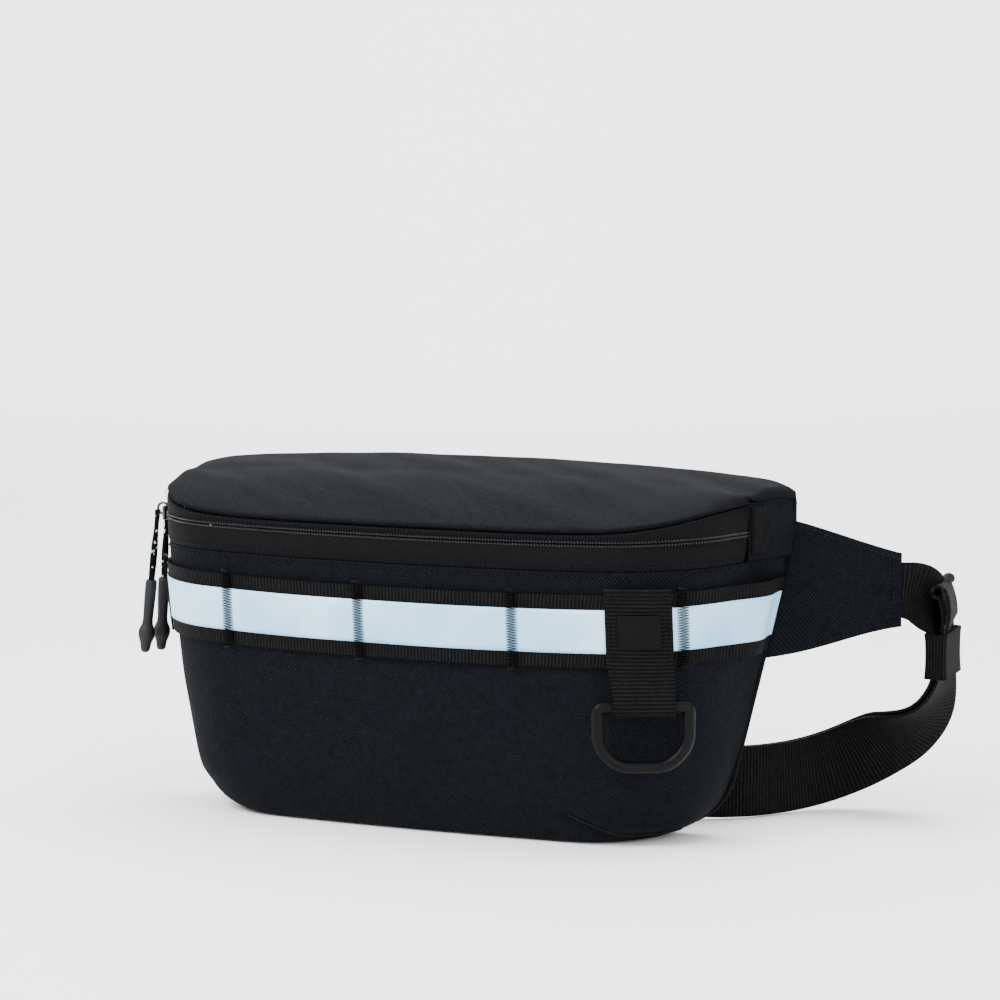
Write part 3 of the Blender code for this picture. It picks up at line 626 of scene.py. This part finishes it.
levels_up = [6.0 + 6.4 * i for i in range(27)]
edge_path = [Vector((level(z)[0] - 0.4, level(z)[3] + 0.3, z)) for z in levels_up]
over = [Vector((x, level(188)[3] + 0.6, back_edge_z(x) - shoulder(x) - 0.6))
        for x in (176, 173, 166, 150, 100, 50, 0, -50, -100, -150, -166, -173, -176)]
edge_path += over + [Vector((-p.x, p.y, p.z)) for p in edge_path[::-1]]
radii = [0.4] + [1.7] * (len(edge_path) - 2) + [0.4]
tube("back_seam_binding", edge_path, radii, tape, "pouch", 8)


# ---------------------------------------------------------------- sliders and pulls
# Die-cast sliders in black lacquer. A doubled braid hangs from each bridge, and its two ends
# are moulded into a rubber tip with a bulge for the fingers.

# Lacquered zinc: smooth and satin, with the metal under the lacquer showing only as gloss
lacquer, _, lacquer_shader = principled("lacquered_zinc", "#050506", 0.32)
lacquer_shader.inputs["Coat Weight"].default_value = 0.4
# Braided polypropylene cord: black with pale flecks, strands crossing every 1.5 mm
braid = woven("polypropylene_braid", "#030303", "#161617", (1.5, 1.5), "braid", 0.8, 0.3,
              fleck="#B9C8BE")
# Moulded thermoplastic rubber: matt, warm near-black, with a slight grain
rubber, rubber_tree, rubber_shader = principled("thermoplastic_rubber", "#0F0D0E", 0.6)
rubber_shader.inputs["Specular IOR Level"].default_value = 0.25
rubber_place = add_node(rubber_tree, "ShaderNodeTexCoord")
grain = add_node(rubber_tree, "ShaderNodeTexNoise", {"Scale": 1400.0, "Detail": 2.0},
                 {"Vector": rubber_place.outputs["Object"]})
grain_bump = add_node(rubber_tree, "ShaderNodeBump", {"Strength": 0.35, "Distance": 0.15 * MM},
                      {"Height": grain.outputs["Fac"]})
rubber_tree.links.new(grain_bump.outputs[0], rubber_shader.inputs["Normal"])


SLIDER_Z = 160.6
for name, along, lean in (("front", 61.0, 6.0), ("rear", 47.0, 3.0)):
    spot, normal = on_wall(along, ZIP_Z, 0.0, left=True)
    run = normal.cross(UP)
    place = Matrix((run, normal, UP)).transposed().to_4x4()
    place.translation = (spot.x, spot.y, SLIDER_Z)

    body_form = bmesh.new()
    bmesh.ops.create_cube(body_form, size=1.0)
    shape = Matrix.Translation((0, 4.3, -2.2)) @ Matrix.Diagonal((10.0, 2.0, 8.0, 1.0))
    bmesh.ops.transform(body_form, matrix=Matrix.Scale(MM, 4) @ place @ shape, verts=body_form.verts)
    slider_mesh = bpy.data.meshes.new(f"{name}_slider_body")
    body_form.to_mesh(slider_mesh)
    body_form.free()
    slider_mesh.materials.append(lacquer)
    slider_mesh.shade_smooth()
    slider = bpy.data.objects.new(f"{name}_slider_body", slider_mesh)
    bpy.context.scene.collection.objects.link(slider)
    edge = slider.modifiers.new("Cast edges", "BEVEL")
    edge.width = 0.9 * MM
    edge.segments = 3
    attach(slider, f"{name}_slider")
    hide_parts(f"{name}_slider")
    arch = [place @ Vector((0, 6.4 + 3.0 * math.cos(math.pi * i / 9), 3.0 * math.sin(math.pi * i / 9)))
            for i in range(-9, 10)]
    tube(f"{name}_slider_bridge", arch, [0.75] * len(arch), lacquer, f"{name}_slider", 8)

    swing = Matrix.Rotation(math.radians(lean), 3, run)
    down = swing @ -UP
    pivot = place @ Vector((0, 9.4, 0))
    profile = [(0.0, 0.0), (2.6, 0.1), (3.3, 0.8), (3.2, 8.0), (3.0, 16.0), (2.7, 23.0), (3.1, 25.5),
               (4.6, 28.0), (4.8, 30.0), (4.5, 32.6), (3.1, 35.0), (2.8, 38.0), (2.3, 40.4), (0.0, 41.0)]
    turned = bpy.data.meshes.new(f"{name}_tip_rubber")
    turned.from_pydata([(r * MM, 0, -d * MM) for r, d in profile],
                       [(i, i + 1) for i in range(len(profile) - 1)], [])
    turned.materials.append(rubber)
    tip = bpy.data.objects.new(f"{name}_tip_rubber", turned)
    bpy.context.scene.collection.objects.link(tip)
    spin = tip.modifiers.new("Turned", "SCREW")
    spin.steps = spin.render_steps = 24
    spin.use_merge_vertices = True
    spin.merge_threshold = 0.00001
    soft = tip.modifiers.new("Rounded", "SUBSURF")
    soft.levels = soft.render_levels = 1
    with bpy.context.temp_override(object=tip):
        for modifier in list(tip.modifiers):
            bpy.ops.object.modifier_apply(modifier=modifier.name)
    tip.data.transform(Matrix.Translation((pivot + down * 39.8) * MM) @ swing.to_4x4())
    tip.data.shade_smooth()
    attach(tip, f"{name}_pull")
    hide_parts(f"{name}_pull_tip")

    for strand, side in (("a", -1), ("b", 1)):
        route = []
        for step in range(18):
            share = step / 17
            sway = 1.25 * side * (1 - 0.25 * math.sin(3 * math.pi * share))
            out = 0.35 * side * math.sin(2 * math.pi * share)
            route.append(pivot + down * (1.0 + 39.4 * share) + run * sway + normal * out)
        cord = tube(f"{name}_braid_{strand}", route, [1.3] * 18, braid, f"{name}_pull", 12,
                    [f"{name}_pull_cord"])


# ---------------------------------------------------------------- corner dart
# A dart takes in the wall's lower right corner. Its seam runs down to the base and round
# to the side. A thin black tube in the thread's material, sunk along it, is mostly painted shade
# of the dart's crease, lying where the seam's small stitches are.

dart_path = []
for step in range(15):
    across = 90.0 + 74.0 * step / 14
    spot, _ = from_middle(across, 4.6 + 12.0 * min(max((118 - across) / 28, 0), 1), -1.6)
    dart_path.append(spot)
tube("dart_crease_painted_shade", dart_path, [0.3] + [0.8] * 13 + [0.3], thread, "pouch", 6)


# ---------------------------------------------------------------- band
# Stiff 38 mm webbing runs round the wall and is tacked to it at intervals, with a strip
# of reflective tape sewn along its middle. It stands off as an open loop at each side.

# Polyester webbing: black, with cross ribs every 2 mm
webbing = woven("polyester_webbing", "#020202", "#1C1C1D", (2.0, 0.9), "ribs", 0.75, 0.5)
# Glass-bead reflective tape: a pale blue-grey film with a faint sparkle, and painted reflection in cloudy
# patches
reflective, film_tree, film_shader = principled("glass_bead_tape", "#C6D9E4", 0.42)
film_place = add_node(film_tree, "ShaderNodeTexCoord")
# Painted reflection: cloudy patches between a deeper and a paler blue stand for the retroreflection
# growing brighter and dimmer with angle
painted_reflection_noise = add_node(film_tree, "ShaderNodeTexNoise", {"Scale": 14.0, "Detail": 5.0},
                  {"Vector": film_place.outputs["Object"]})
painted_reflection_ramp = add_node(film_tree, "ShaderNodeValToRGB", links={"Fac": painted_reflection_noise.outputs["Fac"]})
painted_reflection_ramp.color_ramp.elements[0].color = linear("#7DB4D6")
painted_reflection_ramp.color_ramp.elements[0].position = 0.35
painted_reflection_ramp.color_ramp.elements[1].color = linear("#BFDBEA")
painted_reflection_ramp.color_ramp.elements[1].position = 0.68
film_tree.links.new(painted_reflection_ramp.outputs[0], film_shader.inputs["Base Color"])
beads = add_node(film_tree, "ShaderNodeTexNoise", {"Scale": 1500.0, "Detail": 1.0},
                 {"Vector": film_place.outputs["Object"]})
bead_bump = add_node(film_tree, "ShaderNodeBump", {"Strength": 0.3, "Distance": 0.1 * MM},
                     {"Height": beads.outputs["Fac"]})
film_tree.links.new(bead_bump.outputs[0], film_shader.inputs["Normal"])

TACKS = (-168.0, -104.0, -23.0, 66.0, 156.0)
BAND_LIFT = 4.6


def stood_off(along, whole, _):
    """The band's loops at the sides, and its slight swell between the tacks."""
    near = min(along, whole - along)
    across = whole / 2 - along
    loop = 8.0 * math.sin(math.pi * min(near / 58.0, 1.0)) ** 2
    for left, right in zip(TACKS, TACKS[1:]):
        if left < across < right:
            loop += 0.7 * math.sin(math.pi * (across - left) / (right - left))
    return loop


band_rows = [wall_row(z, out, 1.0, 121, BAND_LIFT, stood_off)
             for z, out in ((131, 1.5), (130, 1.6), (122, 1.6), (112, 1.6), (102, 1.6), (94.5, 1.6),
                            (93.5, 1.5))]
cloth("band_webbing", band_rows, webbing, "pouch", ["webbing_band"], 1.5, 0.0, 1)
film_rows = [wall_row(z, 2.85, 1.0, 121, BAND_LIFT, stood_off)
             for z in (123.5, 118, 112, 106, 101)]
film = cloth("reflective_film", film_rows, reflective, "pouch", ["reflective_tape"], 0.3, 0.0, 1)

# Zigzag bartacks over the band's whole height hold it to the wall
for number, across in enumerate(TACKS):
    path = []
    for step in range(61):
        z = 91.8 + 41.6 * step / 60
        spot, _ = from_middle(across + (2.6 if step % 2 else -2.6), z, 3.5)
        path.append(Vector((spot.x, spot.y, lifted(spot.x, z, BAND_LIFT))))
    tube(f"band_tack_{number}", path, [0.7] * 61, thread, "pouch", 6)


# ---------------------------------------------------------------- tab and D-ring
# A length of the same webbing is folded round the bar of a moulded D-ring and sewn flat
# over the band, with a small blank woven label on it.

# Woven label: satin-smooth black, finer than the webbing under it
label_cloth = woven("woven_label", "#030303", "#0E0E0F", (0.8, 0.8), roughness=0.55, depth=0.1)
# Acetal moulding: matt black, with a fine spark-eroded grain
acetal, acetal_tree, acetal_shader = principled("moulded_acetal", "#020202", 0.45)
acetal_shader.inputs["Specular IOR Level"].default_value = 0.09
acetal_place = add_node(acetal_tree, "ShaderNodeTexCoord")
spark = add_node(acetal_tree, "ShaderNodeTexNoise", {"Scale": 1100.0, "Detail": 2.0},
                 {"Vector": acetal_place.outputs["Object"]})
spark_bump = add_node(acetal_tree, "ShaderNodeBump", {"Strength": 0.3, "Distance": 0.12 * MM},
                      {"Height": spark.outputs["Fac"]})
acetal_tree.links.new(spark_bump.outputs[0], acetal_shader.inputs["Normal"])

ring_axis = next(Vector(j["pos_m"]) for j in frame["joints"] if j["name"] == "ring_swing") / MM
TAB_MIDDLE = 134.0
wall_spot, wall_normal = from_middle(TAB_MIDDLE, ring_axis.z)
wall_right = UP.cross(wall_normal)
wrap = 4.6
tab_path = [(3.9, 136.0), (4.6, 135.0), (4.6, 127.0), (4.6, 118.0), (4.6, 108.0), (4.6, 99.0),
            (7.0, 92.0), (10.4, 86.0), (7.0 + wrap, 80.5)]
tab_path += [(7.0 + wrap * math.cos(math.pi * i / 8), 76.0 - wrap * math.sin(math.pi * i / 8))
             for i in range(9)]
tab_path += [(7.0 - wrap, 81.0), (2.2, 86.0), (2.0, 91.0)]


def tab_point(side, out, z):
    """Follows the wall at the top and lies straight across at the ring."""
    curved, _ = from_middle(TAB_MIDDLE + side, z, out)
    straight = wall_spot + wall_normal * out + wall_right * side
    share = min(max((z - 86.0) / 12.0, 0.0), 1.0)
    return Vector((*straight.xy.lerp(curved.xy, share), z))


tab_rows = [[tab_point(-16 + 4 * i, out, z) for out, z in tab_path] for i in range(9)]
cloth("tab_webbing", tab_rows, webbing, "pouch", ["ring_tab"], 1.5, 0.0)
label_rows = [[tab_point(-10 + 5 * i, 6.3, z) for z in (106, 107, 114.5, 122, 123)]
              for i in range(5)]
cloth("blank_label", label_rows, label_cloth, "pouch", ["label_patch"], 0.8, 0.0)
for label, spots in {
    "top": [(side, 5.6, 133.0) for side in (-14, -7, 0, 7, 14)],
    "foot": [(side, 5.8, 97.6) for side in (-14, -7, 0, 7, 14)],
    "right": [(14.2, 5.6, z) for z in (100, 108, 116, 124, 132)],
    "left": [(-14.2, 5.6, z) for z in (100, 108, 116, 124, 132)],
}.items():
    stitches(f"tab_stitch_{label}", [tab_point(*spot) for spot in spots], "pouch",
             [wall_normal] * 5, 2.0, 0.7, 0.3)
corners = ((-8.8, 107.2), (8.8, 107.2), (8.8, 121.8), (-8.8, 121.8), (-8.8, 107.2))
stitches("label_stitch", [tab_point(side, 6.8, z) for side, z in corners], "pouch",
         [wall_normal] * 5, 1.6, 0.7, 0.2)


def filleted(points, radii, steps=6):
    """A closed outline with each corner rounded to its own radius."""
    made = []
    for i, (point, radius) in enumerate(zip(points, radii)):
        back = (Vector(points[i - 1]) - Vector(point)).normalized()
        ahead = (Vector(points[(i + 1) % len(points)]) - Vector(point)).normalized()
        for step in range(steps + 1):
            t = step / steps
            start, end = Vector(point) + back * radius, Vector(point) + ahead * radius
            made.append(start * (1 - t) ** 2 + Vector(point) * 2 * t * (1 - t) + end * t ** 2)
    return made


ring_outline = filleted([(-23.5, 0), (23.5, 0), (23.5, -20), (13, -31), (-13, -31), (-23.5, -20)],
                        [3.5, 3.5, 7, 7, 7, 7])
ring_curve = bpy.data.curves.new("ring_moulding", "CURVE")
ring_curve.dimensions = "3D"
ring_curve.bevel_depth = 3.3 * MM
ring_curve.bevel_resolution = 3
spline = ring_curve.splines.new("POLY")
spline.points.add(len(ring_outline) - 1)
spline.use_cyclic_u = True
for point, (side, drop) in zip(spline.points, ring_outline):
    spot = ring_axis + wall_right * side + UP * drop
    point.co = (*(spot * MM), 1)
ring_curve.materials.append(acetal)
ring = bpy.data.objects.new("ring_moulding", ring_curve)
bpy.context.scene.collection.objects.link(ring)
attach(ring, "ring")
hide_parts("d_ring")


# ---------------------------------------------------------------- wings
# A padded wing of the same cloth is sewn into each side seam. It narrows to the belt,
# with a topstitched edge and the belt boxed in at its tip.

WINGS = {
    "right": [(179.6, 56.0), (184.0, 60.5), (189.0, 65.5), (196.5, 73.5), (204.5, 81.5),
              (212.5, 89.5), (218.0, 95.3), (220.0, 97.5)],
    "left": [(-179.6, 56.0), (-180.9, 63.0), (-181.5, 71.0), (-181.7, 81.0), (-181.5, 91.0),
             (-180.6, 101.0), (-179.4, 109.6), (-179.0, 112.0)],
}
MIDDLES = (128.0, 128.2, 128.2, 127.8, 127.2, 126.4, 125.7, 125.5)
HALVES = (36.0, 34.6, 31.6, 27.8, 24.5, 21.6, 20.0, 19.6)
for side, route in WINGS.items():
    flip = 1 if side == "right" else -1
    rows, pads = [], []
    ends = [Vector((*route[0], 0)), Vector((*route[-1], 0))]
    out = (ends[1] - ends[0]).cross(UP).normalized() * flip
    for k, ((x, y), middle, half) in enumerate(zip(route, MIDDLES, HALVES)):
        row = []
        for step in range(15):
            share = step / 7 - 1
            inner = (1 - abs(share) ** 6) * (1 - (k / 7) ** 8)
            crease = noise.noise(Vector((k / 2.1, share * 2.3, 5.0 if side == "right" else 8.0)))
            z = middle + half * share
            sewn = max(1 - k / 3, 0) ** 2
            base = Vector((flip * (level(z)[0] - 0.6), level(z)[3] + 1.2, z))
            spot = Vector((x, y, z)).lerp(base, sewn) + out * (0.9 * crease * inner)
            row.append(spot)
            pads.append(0.35 + 0.65 * inner)
        rows.append(row)
    wing = cloth(f"{side}_wing_pad", rows, oxford, "pouch", [f"{side}_wing"], 5.8, 0.0)
    group = wing.vertex_groups.new(name="padding")
    for i, pad in enumerate(pads):
        group.add([i], pad, "REPLACE")
    wing.modifiers["Thickness"].vertex_group = "padding"
    for face in (1, -1):
        for label, share, shift in (("top", 1, -3.6), ("foot", -1, 3.6)):
            path = [Vector((x, y, middle + half * share + shift)) + out * face * 2.4
                    for (x, y), middle, half in zip(route, MIDDLES, HALVES)][1:]
            stitches(f"{side}_wing_{label}_stitch_{'front' if face > 0 else 'back'}", path, "pouch",
                     [out * face] * 7, 2.4, 1.0, 0.35)
        for number, back in enumerate((0.32, 0.62)):
            spot = Vector((*route[-2], 0)).lerp(Vector((*route[-3], 0)), back)
            path = [Vector((spot.x, spot.y, 125.8 + z)) + out * face * 2.6 for z in (-17.5, 0, 17.5)]
            stitches(f"{side}_wing_box_{number}_{'front' if face > 0 else 'back'}", path, "pouch",
                     [out * face] * 3, 2.0, 0.5, 0.45)


# ---------------------------------------------------------------- belt
# 38 mm webbing runs from the right wing under the pack to the buckle, through its plug and
# back as a tail to an elastic keeper. A short strap from the left wing holds the socket.

BELT_Z = 24.5
STANDING_Y = 60.4
TAIL_Y = 52.0
BUCKLE_Y = (STANDING_Y + TAIL_Y) / 2
TAIL_GAP = 3.0


def smooth_route(stations, steps):
    """A Catmull-Rom curve through stations of three coordinates and a width direction. Each
    point comes with its width direction squared to the route, and the outer face's direction."""
    points = []
    ends = [stations[0], *stations, stations[-1]]
    for i in range(len(stations) - 1):
        a, b, c, d = ends[i:i + 4]
        for step in range(steps):
            t = step / steps
            points.append([0.5 * (2 * q + (r - p) * t + (2 * p - 5 * q + 4 * r - s) * t * t
                                  + (3 * q - p - 3 * r + s) * t ** 3)
                           for p, q, r, s in zip(a, b, c, d)])
    points.append(list(stations[-1]))
    made = []
    for i, one in enumerate(points):
        spot, wide = Vector(one[:3]), Vector(one[3:])
        ahead = Vector(points[min(i + 1, len(points) - 1)][:3]) - Vector(points[max(i - 1, 0)][:3])
        ahead.normalize()
        wide = (wide - ahead * wide.dot(ahead)).normalized()
        made.append((spot, wide, ahead.cross(wide)))
    return made


def strap(name, centres, body, node, gathered=0.0):
    """Webbing through its centres. Its first end can be gathered in by a few millimetres."""
    rows = []
    for step in range(7):
        rows.append([spot + wide * (38.0 - gathered * max(1 - i / 20, 0)) * (step / 6 - 0.5)
                     for i, (spot, wide) in enumerate(centres)])
    return cloth(name, rows, webbing, body, [node], 1.5, 0.0, 1)


def round_bar(x, way, radius):
    """Half a turn of webbing round a buckle bar, from the wearer's side to the outer side."""
    turns = [math.pi * step / 6 for step in range(7)]
    return [(Vector((x + way * radius * math.sin(t), BUCKLE_Y + radius * math.cos(t), BELT_Z)), UP)
            for t in turns]


RIGHT_STATIONS = (
    (222.7, 100.4, 125.0, 0, 0, 1),
    (226.8, 107.0, 123.0, 0.2, 0.3, 0.9),
    (230.2, 114.5, 117.5, 0.2, 0.7, 0.65),
    (232.3, 120.5, 109.5, -0.1, 0.97, 0.2),
    (233.1, 123.5, 99.5, -0.18, 1, 0),
    (233.0, 124.0, 86.0, -0.18, 1, 0),
    (231.0, 125.0, 73.0, -0.1, 1, -0.15),
    (224.0, 127.5, 59.0, 0, 0.9, -0.4),
    (211.0, 131.0, 47.0, 0, 0.7, -0.7),
    (194.0, 134.0, 37.0, 0, 0.4, -0.9),
    (177.0, 132.0, 28.0, 0, 0.15, -0.99),
    (162.0, 121.0, 22.0, 0, 0, -1),
    (150.0, 101.0, 19.8, 0, 0, -1),
    (137.0, 80.0, 19.8, 0, 0, -1),
    (118.0, 66.0, 20.5, 0, 0, -1),
    (102.0, 61.6, 23.5, 0, 0, -1),
    (88.0, STANDING_Y, BELT_Z, 0, 0, -1),
    (66.0, STANDING_Y, BELT_Z, 0, 0, -1),
    (44.0, STANDING_Y, BELT_Z, 0, 0, -1),
)
TAIL_END = (
    (236.2, 123.5, 102.0, -0.2, 1, 0),
    (236.4, 121.8, 111.0, -0.26, 1, 0),
    (234.6, 119.5, 121.0, -0.3, 1, 0),
    (234.0, 118.6, 125.6, -0.3, 1, 0),
    (236.2, 118.4, 127.4, -0.3, 1, 0),
    (238.6, 119.0, 125.0, -0.3, 1, 0),
    (240.2, 120.8, 116.0, -0.28, 1, 0),
    (239.6, 122.0, 107.0, -0.24, 1, 0),
)
LEFT_STATIONS = (
    (-178.9, 115.6, 125.0, 0, 0, 1),
    (-178.5, 121.0, 123.5, 0.25, 0, 0.97),
    (-177.3, 127.5, 117.5, 0.7, 0, 0.7),
    (-175.5, 132.0, 107.0, 0.95, -0.2, 0.3),
    (-172.0, 134.0, 92.0, 0.95, -0.3, 0.3),
    (-159.0, 131.0, 67.0, 0.7, -0.5, 0.6),
    (-144.0, 123.0, 47.0, 0.4, -0.4, 0.85),
    (-124.0, 108.0, 30.0, 0.1, -0.1, 0.98),
    (-104.0, 86.0, 21.5, 0, 0, 1),
    (-84.0, 67.0, 22.5, 0, 0, 1),
    (-66.0, 61.0, BELT_Z, 0, 0, 1),
    (-54.0, STANDING_Y, BELT_Z, 0, 0, 1),
    (-46.5, STANDING_Y, BELT_Z, 0, 0, 1),
)

standing = smooth_route(RIGHT_STATIONS, 4)
sewn_end = [(Vector((215.0, 92.4, 125.6)), UP), (Vector((219.5, 97.0, 125.3)), UP)]
strap("long_strap", sewn_end + [(spot, wide) for spot, wide, _ in standing], "pouch", "belt_strap", 9.0)
tail = []
for spot, wide, out in standing[17:]:
    share = min(max((112.0 - spot.x) / 22.0, 0.0), 1.0) if spot.y < 70.0 else 0.0
    tail.append((spot + out * (TAIL_GAP + (STANDING_Y - TAIL_Y - TAIL_GAP) * share), wide))
tail_end = [(spot, wide) for spot, wide, _ in smooth_route(TAIL_END, 3)]
strap("tail_strap", tail[::-1] + tail_end, "pouch", "belt_tail")
loop = round_bar(24.0, -1, 2.4)
for x in (34.0, 52.0):
    loop.insert(0, (Vector((x, BUCKLE_Y + 2.4, BELT_Z)), UP))
    loop.append((Vector((x, BUCKLE_Y - 2.4, BELT_Z)), UP))
strap("plug_loop", loop, "plug", "belt_loop")
short = [(Vector((-179.8, 106.5, 125.8)), UP), (Vector((-179.2, 111.5, 125.4)), UP)]
short += [(spot, wide) for spot, wide, _ in smooth_route(LEFT_STATIONS, 4)]
short += round_bar(-42.5, 1, (STANDING_Y - TAIL_Y) / 2)
short += [(Vector((-42.5 - back, TAIL_Y + rise, BELT_Z)), UP)
          for back, rise in ((6, 0.2), (12, 2.2), (20, 4.4))]
strap("short_strap_webbing", short, "pouch", "short_strap")

# Knitted elastic: black, with fine ribs every 1.2 mm round the loop, drawn at 1.6 mm
elastic = woven("knitted_elastic", "#020202", "#171718", (1.6, 1.6), "ribs", 0.85, 0.3)
KEEPER_X, KEEPER_Y, KEEPER_TURN = 234.0, 123.8, 0.18
keeper_low, keeper_high = (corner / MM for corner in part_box("elastic_keeper"))
rows = []
for step in range(9):
    z = keeper_low.z + (keeper_high.z - keeper_low.z) * step / 8
    waist = 1.0 * math.sin(math.pi * step / 8) ** 0.5
    half_x, half_y = 6.0 - waist * 0.5, 22.6 - waist
    outline = filleted([(-half_x, -half_y), (half_x, -half_y), (half_x, half_y), (-half_x, half_y)],
                       [2.2] * 4, 4)
    rows.append([Vector((KEEPER_X + x - KEEPER_TURN * y, KEEPER_Y + y, z)) for x, y in outline])
cloth("keeper_elastic", rows, elastic, "keeper", ["elastic_keeper"], 1.1, 0.0, 1, True)


# ---------------------------------------------------------------- buckle
# A side-release buckle moulded in black acetal: a socket, a plug with a ladder bar, and
# the plug's two prongs. All their edges are softly rounded.

for node, body in (("buckle_socket", "pouch"), ("buckle_plug", "plug"),
                   ("upper_prong", "upper_prong"), ("lower_prong", "lower_prong")):
    form = bmesh.new()
    form.from_mesh(frame["nodes"][node].data)
    form.transform(frame["nodes"][node].matrix_world)
    bmesh.ops.remove_doubles(form, verts=form.verts, dist=0.00001)
    bmesh.ops.dissolve_limit(form, angle_limit=0.03, verts=form.verts, edges=form.edges)
    mesh = bpy.data.meshes.new(f"{node}_moulding")
    form.to_mesh(mesh)
    form.free()
    mesh.materials.append(acetal)
    mesh.shade_smooth()
    moulding = bpy.data.objects.new(f"{node}_moulding", mesh)
    bpy.context.scene.collection.objects.link(moulding)
    edge = moulding.modifiers.new("Moulded edges", "BEVEL")
    edge.width = 0.6 * MM
    edge.segments = 3
    edge.harden_normals = True
    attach(moulding, body)
    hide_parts(node)
